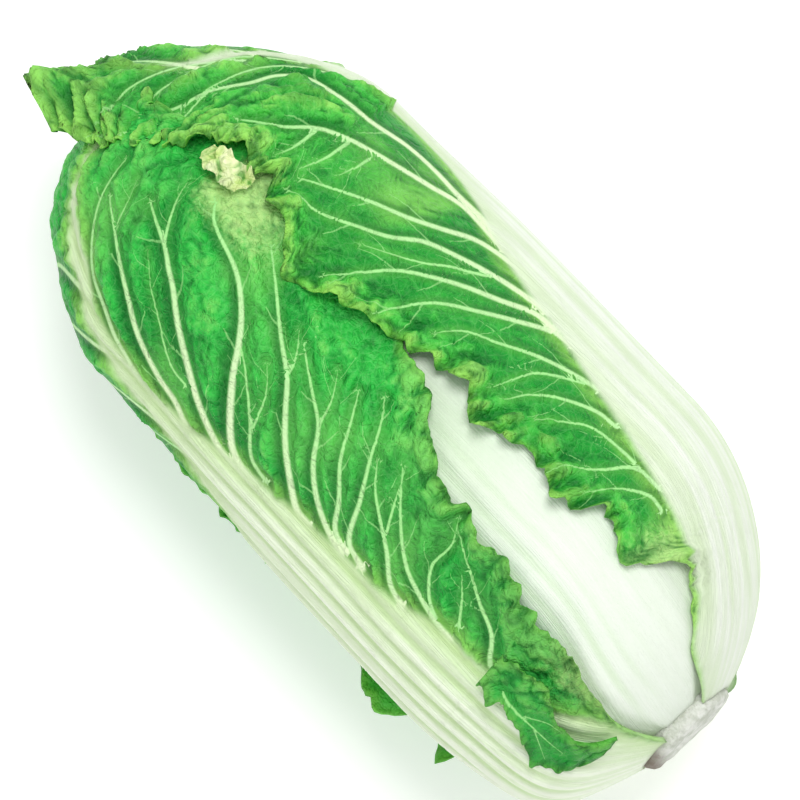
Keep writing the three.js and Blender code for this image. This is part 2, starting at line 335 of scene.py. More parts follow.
def leafFinish(name, look):
    material, tree, shader = newMaterial(name)
    spot = onObject(tree)
    near = stored(tree, "veinNear")
    wide = stored(tree, "veinWidth")
    ribGap = stored(tree, "ribGap")
    paintedShade = stored(tree, "paintedShade")
    pale = stored(tree, "pale")
    blotch = speckle(tree, spot, 38, 4, 0.62)
    patch = speckle(tree, spot, 17, 2, 0.5, 0.6)
    grain = speckle(tree, spot, 420, 4, 0.65)
    wrinkle = speckle(tree, spot, 150, 3, 0.6, 1.2)
    netParts = useGroup(tree, veinNet, Place=spot, Cell=look["netCell"], Waver=netPlan["waver"])
    fibreParts = useGroup(tree, fibres, Chart=stored(tree, "chart", "Vector"))

    # blade: its own blotches, lighter on the crests and darker in the valleys of its relief as painted light
    # and painted shade
    tone = plus(tree, times(tree, blotch, 0.9), times(tree, stored(tree, "relief"), look["reliefShading"]))
    tone = plus(tree, tone, swing(tree, grain, 0.6))
    blade = mixTint(tree, fade(tree, tone, 0.08, 0.6), look["dark"], look["mid"])
    blade = mixTint(tree, fade(tree, tone, 0.5, 1.0), blade, look["light"])
    blade = mixTint(tree, fade(tree, patch, 0.5, 0.68, 0, look["patches"]), blade, look["light"])
    blade = mixTint(tree, fade(tree, patch, 0.46, 0.32, 0, look["patches"]), blade, look["dark"])
    paleMask = plus(tree, plus(tree, pale, swing(tree, grain, 0.9)), swing(tree, blotch, 0.8))
    paleMask = times(tree, fade(tree, paleMask, 0.2, 0.95), fade(tree, pale, 0.02, 0.3))
    blade = mixTint(tree, paleMask, blade, look["pale"])
    blade = mixTint(tree, fade(tree, near, 0.0, 3.2, look["halo"], 0), blade, look["light"])
    blade = mixTint(tree, times(tree, netParts["Net"], look["net"]), blade, look["thread"])
    rim = fade(tree, plus(tree, stored(tree, "edgeGap"), times(tree, blotch, 12)), 5.0, 11.0, look["rim"], 0)
    blade = mixTint(tree, rim, blade, look["edge"])
    nearRib = fade(tree, plus(tree, ribGap, times(tree, grain, 5)), -look["ribBlush"], 2.0)
    blade = mixTint(tree, times(tree, nearRib, 0.75), blade, look["nearRib"])
    # painted shade: the stored shade mask pulls the blade towards a darker green in creases, vein trenches,
    # folds and frill troughs
    blade = mixTint(tree, times(tree, paintedShade, look["paintedShade"]), blade, look["deep"])

    # thin side veins, then laterals
    twigWide = calc(tree, "MAXIMUM", stored(tree, "twigWidth"), look["finest"])
    twigCore = calc(tree, "DIVIDE", calc(tree, "ABSOLUTE", stored(tree, "twigGap")), twigWide)
    twig = times(tree, fade(tree, twigCore, 0.5, 1.6, 1, 0), look["twig"])
    blade = mixTint(tree, twig, blade, look["veinThin"])
    distance = calc(tree, "ABSOLUTE", stored(tree, "veinGap"))
    core = calc(tree, "DIVIDE", distance, calc(tree, "MAXIMUM", wide, look["finest"]))
    lateral = times(tree, fade(tree, core, 0.4, 1.35, 1, 0), fade(tree, wide, 0.05, 0.6, 0.35, 1))
    veinTint = mixTint(tree, fade(tree, wide, 0.5, 1.8), look["veinThin"], look["vein"])
    skin = mixTint(tree, lateral, blade, veinTint)

    # rib
    ribMask = fade(tree, plus(tree, ribGap, swing(tree, blotch, 5)), -2.5, 2.5)
    rib = mixTint(tree, times(tree, fibreParts["Cord"], look["cord"]), look["rib"], look["ribGreen"])
    # painted shade: the petiole turns greener in the valleys between its ridges and where shadeAt paints
    # shade
    rib = mixTint(tree, times(tree, paintedShade, look["ribValleyShade"]), rib, look["ribGreen"])
    rib = mixTint(tree, times(tree, fibreParts["Fibre"], look["fibre"]), rib, look["ribLine"])
    rib = mixTint(tree, fade(tree, ribGap, 2.0, 16.0, look["ribEdge"], 0), rib, look["ribGreen"])
    skin = mixTint(tree, ribMask, skin, rib)
    feed(tree, shader.inputs["Base Color"], skin)

    rough = plus(tree, look["rough"], times(tree, ribMask, look["ribRough"] - look["rough"]))
    feed(tree, shader.inputs["Roughness"], plus(tree, rough, swing(tree, grain, 0.25)))

    notRib = calc(tree, "SUBTRACT", 1, ribMask)
    puff = times(tree, times(tree, netParts["Puff"], notRib), look["puff"])
    lines = times(tree, times(tree, fibreParts["Fibre"], ribMask), look["fibreHeight"])
    crease = fade(tree, calc(tree, "ABSOLUTE", calc(tree, "SUBTRACT", wrinkle, 0.5)), 0.0, 0.2, 0, 1)
    plain = calc(tree, "SUBTRACT", notRib, times(tree, lateral, notRib))
    height = plus(tree, plus(tree, puff, lines), times(tree, grain, 0.2))
    height = plus(tree, height, times(tree, times(tree, crease, plain), look["crease"]))
    addBump(tree, shader, height, look["bump"], 0.0012)
    shader.inputs["Specular IOR Level"].default_value = 0.22
    return material


leafLook = {
    "deep": tint(0, 90, 30), "dark": tint(0, 136, 40), "mid": tint(46, 188, 68),
    "light": tint(118, 212, 94), "paintedShade": 0.75, "pale": tint(178, 222, 132),
    "edge": tint(150, 208, 84), "thread": tint(150, 222, 140), "nearRib": tint(150, 212, 96),
    "vein": tint(222, 244, 194), "veinThin": tint(158, 226, 138), "rib": tint(250, 252, 246),
    "ribGreen": tint(206, 228, 178), "ribLine": tint(226, 238, 208), "netCell": 190, "net": 0.13,
    "patches": 0.6, "twig": 0.5, "halo": 0.18, "rim": 0.4, "ribBlush": 8.0, "ribEdge": 0.5,
    "cord": 0.3, "ribValleyShade": 0.6, "reliefShading": 0.16, "puff": 0.6, "crease": 0.22,
    "fibreHeight": 0.18, "fibre": 0.1, "bump": 1.0, "rough": 0.5, "ribRough": 0.42, "finest": 0.05,
}
wrapperGreen = leafFinish("left_leaf_green", {
    **leafLook,
    "rib": tint(238, 247, 226), "ribGreen": tint(186, 220, 146), "ribValleyShade": 0.8,
})
rightGreen = leafFinish("right_leaf_green", {
    **leafLook,
    "deep": tint(0, 96, 30), "dark": tint(14, 146, 42), "mid": tint(70, 194, 68),
    "light": tint(140, 216, 94), "edge": tint(160, 216, 84), "rim": 0.38,
    "rib": tint(236, 242, 230), "ribGreen": tint(204, 226, 180),
})
centreGreen = leafFinish("centre_leaf_white", {
    **leafLook,
    "cord": 0.06, "fibre": 0.04, "fibreHeight": 0.08, "ribValleyShade": 0.5,
    "ribGreen": tint(196, 222, 178), "rib": tint(230, 238, 225),
})
heartYellow = leafFinish("heart_leaf_yellow", {
    **leafLook,
    "dark": tint(190, 206, 104), "mid": tint(222, 228, 140), "light": tint(238, 240, 178),
    "pale": tint(244, 244, 206), "edge": tint(236, 236, 140), "thread": tint(246, 246, 214),
    "nearRib": tint(240, 242, 190), "vein": tint(250, 250, 232), "veinThin": tint(246, 247, 218),
})
tuftCream = leafFinish("tuft_cream", {
    **leafLook,
    "deep": tint(84, 164, 62), "dark": tint(120, 196, 84), "mid": tint(168, 212, 116),
    "light": tint(206, 230, 140), "pale": tint(238, 246, 196), "edge": tint(232, 238, 184),
    "rim": 0.5, "thread": tint(240, 246, 220), "vein": tint(250, 250, 236),
    "veinThin": tint(240, 246, 220),
})
print("materials made")


def settle(bm, name, material):  # the shaped bmesh becomes an object of the scene
    mesh = bpy.data.meshes.new(name)
    bm.to_mesh(mesh)
    bm.free()
    mesh.shade_smooth()
    mesh.materials.append(material)
    piece = bpy.data.objects.new(name, mesh)
    bpy.context.scene.collection.objects.link(piece)
    return piece


# leaves

def pairs(*numbers):  # place, side, place, side and so on
    return list(zip(numbers[::2], numbers[1::2]))


def trail(width, *numbers):  # a vein's half width at its root, and the stations it runs through
    return width, pairs(*numbers)


def fanVeins(leaf, toHigh, roots, sweep=0.5, width=1.1):  # laterals from the rib to one margin
    rib = leaf["ribHigh" if toHigh else "ribLow"]
    margin = leaf["high" if toHigh else "low"]
    veins = []
    for root in roots:
        tip = min(root + sweep, leaf["end"] - 0.06)
        start = float(along(rib, root))
        finish = float(along(margin, tip))
        veins.append((width, [
            (root - 0.08, start - (2 if toHigh else -2)),
            (root + (tip - root) * 0.3, start + (finish - start) * 0.2),
            (root + (tip - root) * 0.65, start + (finish - start) * 0.55),
            (tip, start + (finish - start) * 0.92),
        ]))
    return veins


def traceVein(points, step):  # evenly spaced (place, side) along a smooth line through the points
    points = np.array(points, float)
    steps = np.hypot(np.diff(points[:, 0]) * barrel, np.diff(points[:, 1]) * sideMm(1))
    knots = np.concatenate([[0], np.cumsum(steps)])
    t = np.linspace(0, knots[-1], max(4, int(knots[-1] / step)))
    return [along(np.stack([knots, points[:, column]], axis=1), t) for column in (0, 1)]


def branches(veins, chance):  # short thin side veins off each lateral
    extra = []
    for width, points in veins:
        place, side = traceVein(points, 4)
        count = len(place)
        turn = 1 if chance.random() > 0.5 else -1
        at = 0.22 + 0.12 * chance.random()
        while at < 0.93:
            i = min(int(at * count), count - 2)
            way = math.atan2((side[i + 1] - side[i]) * sideMm(1), (place[i + 1] - place[i]) * barrel)
            turn = -turn
            heading = way + turn * math.radians(chance.uniform(28, 46))
            bend = heading - turn * math.radians(chance.uniform(4, 20))
            length = chance.uniform(9, 20) * (1.1 - 0.4 * at)
            route = [(place[i], side[i])]
            for course in (heading, bend):
                route.append((route[-1][0] + math.cos(course) * length * 0.5 / barrel,
                              route[-1][1] + math.sin(course) * length * 0.5 / sideMm(1)))
            extra.append((width * 0.27, route))
            at += chance.uniform(0.14, 0.26)
    return extra


farOff = 99  # a gap where there is no vein


def growTree(points):
    tree = kdtree.KDTree(len(points))
    for i, point in enumerate(points):
        tree.insert(point, i)
    tree.balance()
    return tree


# To the nearest vein: the signed and the plain distance, its half width, and the side it is on.
def veinField(leaf, veins, points):
    place, side, half, owner = [], [], [], []
    for number, (width, route) in enumerate(veins):
        p, s = traceVein(route, 0.8)
        t = np.linspace(0, 1, len(p))
        place.append(p)
        side.append(s)
        wedge = 0.6 if width > 1.15 else 0.0  # only the ones that leave the rib widen into it
        half.append(width * (1 - 0.75 * t**1.3) * (1 + wedge * np.exp(-t / 0.06)))
        owner.append(np.full(len(p), number))
    place, side, half, owner = (np.concatenate(v) for v in (place, side, half, owner))
    samples = headPoint(place, leaf["centre"], side, 0)
    tangent = np.gradient(samples, axis=0)
    everything = growTree(samples)
    # A fork starts where it leaves the thicker vein.
    keep = []
    for i, sample in enumerate(samples):
        thicker = [half[j] * 0.9 - away for _, j, away in everything.find_range(sample, 3)
                   if owner[j] != owner[i] and half[j] > half[i]]
        if max(thicker, default=0) <= 0:
            keep.append(i)
    samples, tangent, half, owner = samples[keep], tangent[keep], half[keep], owner[keep]
    turns = np.concatenate([[True], owner[1:] != owner[:-1], [True]])
    tipward = np.where(turns[1:], 1.0, np.where(turns[:-1], -1.0, 0.0))
    tree = growTree(samples)
    nearest = np.array([tree.find(point)[1] for point in points])
    offset = points - samples[nearest]
    gap = np.linalg.norm(offset, axis=1)
    normal = headNormal(points)
    sign = np.where(np.sum(np.cross(tangent[nearest], offset) * normal, axis=1) > 0, 1.0, -1.0)
    # Away from a vein, past its end, and midway between two veins, the distance is stretched, so that
    # a change of sign leaves no false line.
    second = np.full(len(points), float(farOff))
    for i in np.nonzero((gap < 5) & (gap > half[nearest]))[0]:
        for _, j, away in tree.find_range(points[i], gap[i] * 1.7):
            if owner[j] != owner[nearest[i]]:
                second[i] = min(second[i], away)
    reach = half[nearest] * 1.35
    midway = smooth(gap / second, 0.55, 0.75) * smooth(gap, reach + 0.1, reach + 0.4)
    past = np.sum(tangent[nearest] * offset, axis=1) * tipward[nearest] / np.maximum(
        gap * np.linalg.norm(tangent[nearest], axis=1), 1e-6)
    past = smooth(past, 0.2, 0.5) * smooth(gap, reach, reach + 0.4)
    start = np.maximum(1.8, reach + 1.5)
    stretch = 1 + 14 * np.maximum(np.maximum(midway, past), smooth(gap, start, start + 0.8))
    return sign * gap * stretch, gap, half[nearest], sign


def crimpWave(leaf, place, slant):  # rounded crests with sharp folds between, along a margin
    spot = place * barrel + slant + 3.5 * lineNoise(place * barrel, 13, leaf["seed"] + 2)
    return np.abs(np.sin(np.pi * (spot / leaf["crimpLength"] + 0.9 * lineNoise(spot, 21, leaf["seed"] + 3))))


def leafShape(leaf, across, run):  # (place, side) for shares across and along the leaf
    start = leaf["start"]
    end = leaf["end"]
    if start == 0:  # fewer rows where the petiole is smooth
        lengths = np.cumsum([0, 0.8 * 70, 1.2 * barrel, (end - 2) * 125])
        place = np.interp(run, lengths / lengths[-1], [0, 0.8, 2, end])
    else:
        place = start + (end - start) * run
    across = across + leaf["lean"] * across * (1 - across)
    mmPlace = place * barrel
    jag = leaf["jag"] * smooth(place, 0.3, 0.7)
    margins = []
    for key, seed, inwards in (("low", 1, 1), ("high", 2, -1)):
        own = seed + leaf["seed"]
        noise = lineNoise(mmPlace, 17, own) * 3.6 + lineNoise(mmPlace, 6.5, own) * 2.6
        noise = noise + np.abs(lineNoise(mmPlace, 3.4, own)) * 1.5 + lineNoise(mmPlace, 34, own + 8) * 3.0
        uneven = smooth(lineNoise(mmPlace, 26, seed + 5), -0.3, 0.5)
        noise = noise - leaf["crimp"] * 2.2 * crimpWave(leaf, place, 0 * place) * uneven
        margins.append(along(leaf[key], place) + inwards * noise * jag / sideMm(place))
    low, high = margins
    return place, low + (high - low) * across, across


# Sharp folds: waves as (size, height, seed), the height they start from, and how they shade.
foldPlans = {
    "ruffle": {"waves": [(8.5, 4.6, 43), (4.4, 2.8, 44)], "base": 1.0, "full": 1.3, "shade": 0.9},
    "crumple": {"waves": [(8, 2.6, 41), (4, 2.2, 42)], "base": 1.2, "full": 1.4, "shade": 0.8},
}


def makeLeaf(name, leaf, material):
    bm = bmesh.new()
    bmesh.ops.create_grid(bm, x_segments=leaf["columns"], y_segments=leaf["rows"], size=1)
    grown = bmesh.ops.extrude_face_region(bm, geom=bm.faces[:], use_keep_orig=True)
    inner = [v for v in grown["geom"] if isinstance(v, bmesh.types.BMVert)]
    bm.verts.ensure_lookup_table()
    bm.verts.index_update()
    flat = np.array([v.co for v in bm.verts])
    isInner = np.zeros(len(flat), bool)
    isInner[[v.index for v in inner]] = True
    place, side, across = leafShape(leaf, (flat[:, 0] + 1) / 2, (flat[:, 1] + 1) / 2)
    surface = headPoint(place, leaf["centre"], side, 0)
    seed = leaf["seed"]

    # distances to the margins, the rib and the veins
    scale = sideMm(place)
    mmPlace = place * barrel
    mmSide = side * scale
    low, high, ribLow, ribHigh = (along(leaf[key], place) for key in ("low", "high", "ribLow", "ribHigh"))
    edgeGap = np.minimum(across, 1 - across) * (high - low) * scale
    edgeGap = np.minimum(edgeGap, (leaf["end"] - place) * 120)
    if leaf["start"] > 0:
        edgeGap = np.minimum(edgeGap, (place - leaf["start"]) * 120)
    if "crumple" in leaf:  # the lime rim is broad where the leaf crumples
        edgeGap = edgeGap * (1 - 0.65 * leaf["crumple"](place, side))
    edge = 1 - smooth(edgeGap, 0, leaf["frillWidth"])
    ribGap = np.minimum(side - ribLow, ribHigh - side) * scale
    ribMask = smooth(ribGap, -3, 5)
    signedGap, gap, half, sign = veinField(leaf, leaf["veins"], surface)
    twigGap, _, twigHalf, _ = veinField(leaf, leaf["twigs"] or leaf["veins"], surface)

    # puckers, pleats and quilting between the veins, calm towards one side
    level = leaf["level"](place, side)
    outline = leaf["outline"](place, side) if "outline" in leaf else 1
    pillow = smooth(gap, half * 0.6, half + 6)
    turn = np.radians(leaf["pleatTurn"]) * np.sign(side - (ribLow + ribHigh) / 2)
    ahead = mmPlace * np.cos(turn) + mmSide * np.sin(turn)
    beside = -mmPlace * np.sin(turn) + mmSide * np.cos(turn)
    folded = np.stack([ahead / 3.6, beside, place * 0 + seed * 9.1], axis=1)
    pleat = np.abs(softNoise(folded, 8.5, 11)) + 0.5 * np.abs(softNoise(folded, 4.4, 12))
    dimple = np.abs(softNoise(surface, 9, 5 + seed))
    bumps = softNoise(surface, 22, 3 + seed) * 1.2 + softNoise(surface, 6, 4 + seed) * 0.5
    crackle = np.abs(softNoise(surface, 7, 15 + seed) + 0.35 * softNoise(surface, 3.2, 16))
    calmStart = ribHigh * leaf["calmSide"] + 4
    calm = (1 - leaf["calm"] * smooth(side * leaf["calmSide"], calmStart, 40)) * outline
    relief = leaf["pucker"] * (0.9 + bumps + dimple * 1.6) + leaf["pleat"] * pleat * 2.0
    relief = (relief + leaf["quilt"] * smooth(crackle, 0, 0.3)) * pillow * calm

    # a ridge on each vein and a trench on both sides of it
    veinLift = leaf["veinHeight"] * (0.45 + 0.55 * calm)
    ridge = np.exp(-((gap / (half + 0.5)) ** 2)) * smooth(half, 0.4, 1.4) * veinLift
    shaded = gap * sign * leaf["shadeSide"]
    trench = np.exp(-(((shaded - half * 1.9) / (half * 0.9 + 0.8)) ** 2)) * smooth(half, 0.3, 1.0)
    lit = np.exp(-(((shaded + half * 1.7) / (half * 0.8 + 0.5)) ** 2)) * smooth(half, 0.3, 1.2)
    trench = trench + 0.4 * lit
    relief = (1 - ribMask) * (relief + ridge - trench * leaf["groove"] - leaf["sink"])

    # the frilled margin
    frill = softNoise(surface, 10, 6 + seed) * 0.7 + 0.45 + softNoise(surface, 4.6, 7 + seed) * 0.45
    uneven = 0.25 + 0.75 * smooth(softNoise(surface, 24, 8 + seed), -0.3, 0.4)
    frill = (frill + leaf["crimp"] * (1.7 * crimpWave(leaf, place, mmSide * 0.45) - 0.8) * uneven) * outline
    relief = relief + smooth(place, 0.35, 0.7) * edge**1.3 * leaf["frill"] * np.clip(frill, -0.4, 2)
    # painted shade mask: darker in pleat creases, dimples, quilt cracks, the trenches beside the veins and
    # the troughs of the frill
    paintedShade = (1 - smooth(pleat, 0.0, 0.22)) * leaf["pleat"] * 0.6 + (1 - smooth(dimple, 0.0, 0.16)) * 0.35
    paintedShade = trench * 0.9 + pillow * (paintedShade + (1 - smooth(crackle, 0, 0.12)) * leaf["quilt"] * 0.4)
    paintedShade = paintedShade + edge * (1 - smooth(frill, -0.2, 0.5)) * 0.7

    # the ribbed petiole
    ridges = np.cos(mmSide * math.tau / leaf["ridgeSpacing"] + lineNoise(mmPlace, 60, 9) * 2.0
                    + lineNoise(mmSide, 14, 4) * 4.0)
    ridges = ridges * (0.8 + 0.3 * lineNoise(mmSide, 18, 6))
    ridges = ridges * (leaf["ridgeAt"](side) if "ridgeAt" in leaf else 1)
    relief = relief + ribMask * leaf["ridgeHeight"] * ridges * smooth(place, 0.05, 0.5)
    # painted shade in the valleys between the petiole's ridges
    paintedShade = paintedShade * (1 - ribMask) + ribMask * smooth(-ridges, -0.2, 1) * smooth(place, 0.1, 0.5)
    swell = leaf["swell"] * (1 - np.clip(1 - ribGap / 26, 0, 1) ** 2) * smooth(place, 0.0, 0.4)
    relief = relief + smooth(ribGap, -2, 2) * (swell - leaf["ribSink"])
    for key, plan in foldPlans.items():
        if key in leaf:
            amount = leaf[key](place, side)
            folds = sum(np.abs(softNoise(surface, size, own)) * height for size, height, own in plan["waves"])
            relief = relief + amount * (folds - plan["base"])
            paintedShade = paintedShade + amount * (1 - smooth(folds, 0.2, plan["full"])) * plan["shade"]
    if "shadeAt" in leaf:
        paintedShade = paintedShade + leaf["shadeAt"](place, side)
    relief = np.maximum(relief, -1.7)
    if leaf["covered"]:  # little relief where another leaf lies on top
        relief = relief * (1 - 0.85 * smooth(level, 0.6, 3.2))

    # the two faces of the leaf, close together at a free margin
    outerDepth = level - relief
    innerDepth = level + leaf["blade"] + (leaf["petiole"] - leaf["blade"]) * smooth(ribGap, -4, 10)
    thinEdge = (1 - smooth(edgeGap, 0, 10)) * smooth(place, 0.3, 0.7)
    innerDepth = innerDepth + (outerDepth + 0.8 + edgeGap * 0.06 - innerDepth) * thinEdge
    innerDepth = np.maximum(innerDepth, outerDepth + 0.6)
    final = headPoint(place, leaf["centre"], side, np.where(isInner, innerDepth, outerDepth))
    if "bend" in leaf:
        final = leaf["bend"](final, place, side)
    final[:, 2] = np.maximum(final[:, 2], 0.15)  # just clear of the floor
    for vert, co in zip(bm.verts, final * mm):
        vert.co = co
    if bm.calc_volume(signed=True) < 0:
        bmesh.ops.reverse_faces(bm, faces=bm.faces[:])
    piece = settle(bm, name, material)
    stores = {
        "veinGap": np.where(isInner, farOff, signedGap),
        "veinWidth": half,
        "veinNear": np.where(isInner, farOff, gap - half),
        "twigGap": np.where(isInner, farOff, twigGap),
        "twigWidth": twigHalf,
        "ribGap": ribGap,
        "edgeGap": edgeGap,
        "paintedShade": np.where(isInner, 0, np.clip(paintedShade, 0, 1)),
        "relief": np.where(isInner, 0, relief),
        "pale": leaf["paleAt"](place, side) if "paleAt" in leaf else place * 0,
    }
    for label, values in stores.items():
        attribute = piece.data.attributes.new(label, "FLOAT", "POINT")
        attribute.data.foreach_set("value", np.asarray(values, np.float32))
    attribute = piece.data.attributes.new("chart", "FLOAT_VECTOR", "POINT")
    chart = np.stack([mmPlace, mmSide, place * 0], axis=1)
    attribute.data.foreach_set("vector", chart.astype(np.float32).ravel())
    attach(piece, "root")
    print(name, "made with", len(piece.data.polygons), "faces")
    return piece


# Sizes in millimetres; shares and strengths have no unit.
leafBasics = {
    "columns": 110, "rows": 180, "start": 0, "lean": 0.0, "covered": False, "jag": 1.0, "seed": 0,
    "pucker": 0.8, "quilt": 0.9, "pleat": 0.8, "pleatTurn": 40, "sink": 2.2, "ribSink": 1.2,
    "shadeSide": 1, "veinHeight": 1.15, "calm": 0.0, "calmSide": 1, "groove": 1.3, "frill": 3.0,
    "crimp": 0.4, "crimpLength": 9.0, "frillWidth": 16, "ridgeSpacing": 7.0, "ridgeHeight": 0.35,
    "swell": 1.0, "blade": 2.4, "petiole": 6.5, "twigs": [],
}


def leftBulge(place, side):  # the petiole is fuller low down
    return -5 * np.exp(-(((place - 0.36) / 0.2) ** 2)) * smooth(-side, -18, 4)


leftLeaf = {
    **leafBasics,
    "centre": -50, "end": 3.0, "columns": 190, "rows": 260, "covered": True, "seed": 1,
    "pucker": 1.2, "calm": 0.9, "calmSide": -1, "jag": 1.4, "crimp": 0.8, "ridgeHeight": 1.0,
    "ridgeSpacing": 8.5,
    "low": pairs(0, -75, 0.67, -75, 1, -80, 1.63, -82, 2, -81, 2.43, -73, 2.72, -62, 2.9, -52, 3.0, -36),
    "high": pairs(0, 28, 0.3, 29, 0.45, 33, 0.6, 36, 0.75, 38, 0.96, 40, 1.12, 44, 1.26, 48, 1.34, 53,
        1.43, 57, 1.5, 62, 1.63, 70, 1.8, 75, 2.0, 78, 2.3, 72, 2.55, 56, 2.72, 38, 2.9, 22, 3.0, 6),
    "ribLow": pairs(0, -66, 0.3, -62, 0.8, -57, 1.0, -51, 1.3, -42, 1.5, -29, 1.65, -21, 1.8, -18,
        1.96, -14, 2.1, -9, 2.24, -4, 2.46, 5, 2.6, 19, 2.82, 38),
    "ribHigh": pairs(0, 27, 0.3, 27, 0.42, 26, 0.5, 22, 0.6, 18, 0.78, 15, 0.99, 13, 1.12, 8, 1.3, 6,
        1.42, 4, 1.56, 1, 1.66, -2, 1.8, -6, 1.96, -5, 2.1, -1, 2.24, 4, 2.46, 10, 2.6, 21, 2.82, 39),
    "lean": 0.25,
}
leftLeaf["ruffle"] = lambda place, side: (
    0.8 * smooth((side - along(leftLeaf["high"], place)) * 1.3, -20, -3)
    * smooth(place, 0.45, 0.7) * (1 - smooth(place, 1.4, 1.6)))
leftLeaf["shadeAt"] = lambda place, side: 0.4 * smooth(-place, -1.5, -0.9) * smooth(side, 18, 26)
leftLeaf["level"] = lambda place, side: leftBulge(place, side) + layers["tucked"] * np.clip(
    smooth(side, 44, 58) * smooth(place, 1.38, 1.54)
    + smooth(-side, 26, 46) * smooth(place, 0.3, 0.8)
    + smooth(place, 1.8, 2.03) * smooth(side, 50, 64)
    + smooth(place, 2.78, 2.92), 0, 1)
leftLeaf["veins"] = [
    trail(1.4, 1.8, -10, 1.86, -9, 1.97, -4, 2.08, 2, 2.2, 5, 2.29, 10, 2.39, 18, 2.48, 30),
    trail(1.8, 1.64, -7, 1.73, -6, 1.79, -2, 1.86, 0, 1.95, 5, 2.02, 11, 2.12, 16, 2.25, 20, 2.38, 22),
    trail(0.5, 2.25, 20, 2.31, 28, 2.37, 33),
    trail(1.9, 1.52, -3, 1.59, -2, 1.66, 0, 1.74, 5, 1.81, 11, 1.9, 19, 1.98, 27, 2.07, 32, 2.25, 35),
    trail(0.7, 2.07, 32, 2.18, 42, 2.24, 48),
    trail(0.6, 1.79, 6, 1.85, 7, 1.95, 16, 2.05, 24, 2.1, 27),
    trail(1.8, 1.52, -1, 1.58, 1, 1.62, 4, 1.72, 21, 1.76, 29, 1.81, 36, 1.88, 42, 1.98, 46, 2.07, 51),
    trail(1.0, 1.5, 4, 1.56, 6, 1.62, 15, 1.7, 24, 1.78, 31),
    trail(0.6, 1.6, 13, 1.63, 24, 1.68, 31),
    trail(1.5, 1.36, 4, 1.4, 5, 1.45, 10, 1.52, 18, 1.57, 25, 1.62, 32, 1.69, 38, 1.8, 48, 1.87, 54),
    trail(0.6, 1.62, 32, 1.64, 38, 1.68, 44),
    trail(1.4, 1.26, 6, 1.31, 8, 1.38, 13, 1.44, 20, 1.49, 29, 1.55, 34, 1.65, 42),
    trail(0.55, 1.49, 29, 1.51, 37, 1.55, 44),
    trail(1.2, 1.25, 8, 1.3, 10, 1.34, 18, 1.4, 27, 1.44, 36, 1.48, 44),
    trail(1.2, 1.2, 8, 1.26, 11, 1.3, 22, 1.35, 33, 1.39, 42, 1.43, 48),
    trail(1.2, 1.07, 9, 1.12, 11, 1.18, 18, 1.26, 25, 1.3, 29, 1.34, 35),
    trail(0.7, 1.2, 20, 1.25, 32, 1.28, 39),
    trail(1.2, 0.94, 13, 1.0, 14, 1.06, 16, 1.12, 19, 1.2, 27, 1.29, 39),
    trail(0.9, 0.98, 14, 1.03, 17, 1.08, 25, 1.08, 33, 1.11, 40),
    trail(1.1, 0.75, 16, 0.8, 17, 0.86, 24, 0.95, 28, 1.04, 34, 1.1, 38),
    trail(0.7, 0.94, 18, 0.99, 26, 1.02, 30),
    trail(0.9, 1.66, -14, 1.78, -24, 1.9, -38, 1.98, -52),
]
leftLeaf["veins"] += fanVeins(leftLeaf, False, [0.95, 1.1, 1.25, 1.38, 1.5, 1.85, 2.05, 2.25], 0.42, 1.2)
leftLeaf["twigs"] = branches(leftLeaf["veins"], np.random.default_rng(3))
leftLeaf["paleAt"] = lambda place, side: (
    0.85 * smooth(place, 1.72, 1.95) * smooth(side, 38, 54) * (1 - smooth(place, 2.1, 2.3))
    + 0.75 * smooth(place, 0.85, 0.55) * smooth(side, 22, 34)
    + 0.3 * smooth(-side, 14, 28) * smooth(place, 1.5, 1.75))

rightLeaf = {
    **leafBasics,
    "centre": 60, "end": 3.04, "columns": 190, "rows": 260, "covered": True, "seed": 5, "jag": 1.3,
    "calm": 1.0, "ridgeHeight": 0.3, "ridgeSpacing": 13.0, "crimp": 1.1, "frillWidth": 20,
    "frill": 4.5, "pucker": 1.0, "pleat": 2.3, "groove": 2.0, "shadeSide": -1,
    "low": pairs(0, -29, 0.29, -35, 0.38, -30, 0.45, -28, 0.55, -27, 0.62, -29, 0.7, -40, 0.76, -43,
        0.85, -41, 0.97, -46, 1.06, -44, 1.18, -46, 1.25, -50, 1.33, -45, 1.4, -46, 1.49, -50, 1.6, -53,
        1.7, -55, 1.8, -57, 1.9, -50, 2.02, -45, 2.12, -42, 2.23, -44, 2.35, -46, 2.59, -48, 2.75, -47,
        2.9, -42, 2.97, -37, 3.04, -30),
    "high": pairs(0, 66, 0.67, 66, 1, 74, 1.37, 78, 2, 76, 2.43, 64, 2.72, 42, 2.89, 16, 3.04, -6),
    "ribLow": pairs(0, -28, 0.29, -34, 0.43, -27, 0.55, -25, 0.65, -22, 0.82, -22, 0.97, -20, 1.11, -16,
        1.27, -11, 1.4, -8, 1.54, -3, 1.68, 8, 1.87, 16, 2.0, 14, 2.17, 8, 2.32, 5, 2.42, 0, 2.5, -9,
        2.6, -14, 2.75, -15, 2.9, -10, 3.04, -4),
    "ribHigh": pairs(0, 62, 0.6, 60, 1.0, 52, 1.3, 46, 1.6, 41, 1.87, 38, 2.0, 35, 2.17, 26, 2.32, 14,
        2.42, 6, 2.5, -5, 2.6, -13, 2.75, -18, 2.9, -34, 3.04, -42),
    "lean": -0.25, "pleatTurn": 34,
}
rightLeaf["level"] = lambda place, side: layers["tucked"] * smooth(side, 34, 50) * smooth(place, 0.3, 0.8)


def beakBend(final, place, side):  # the tip of the leaf stands out past the crown as a beak
    swell = smooth(place, 2.5, 2.92) * smooth(side, -45, -25) * (1 - smooth(side, 20, 45))
    lift = smooth(place, 2.75, 3.0) * np.exp(-(((side + 8) / 12) ** 2))
    peak = smooth(place, 2.78, 3.02) * np.exp(-(((side + 26) / 6.5) ** 2))
    moved = final + swell[:, None] * np.array([-11, 0, 0]) + lift[:, None] * np.array([0, 3, 0])
    return moved + peak[:, None] * np.array([-14, 3, 6])


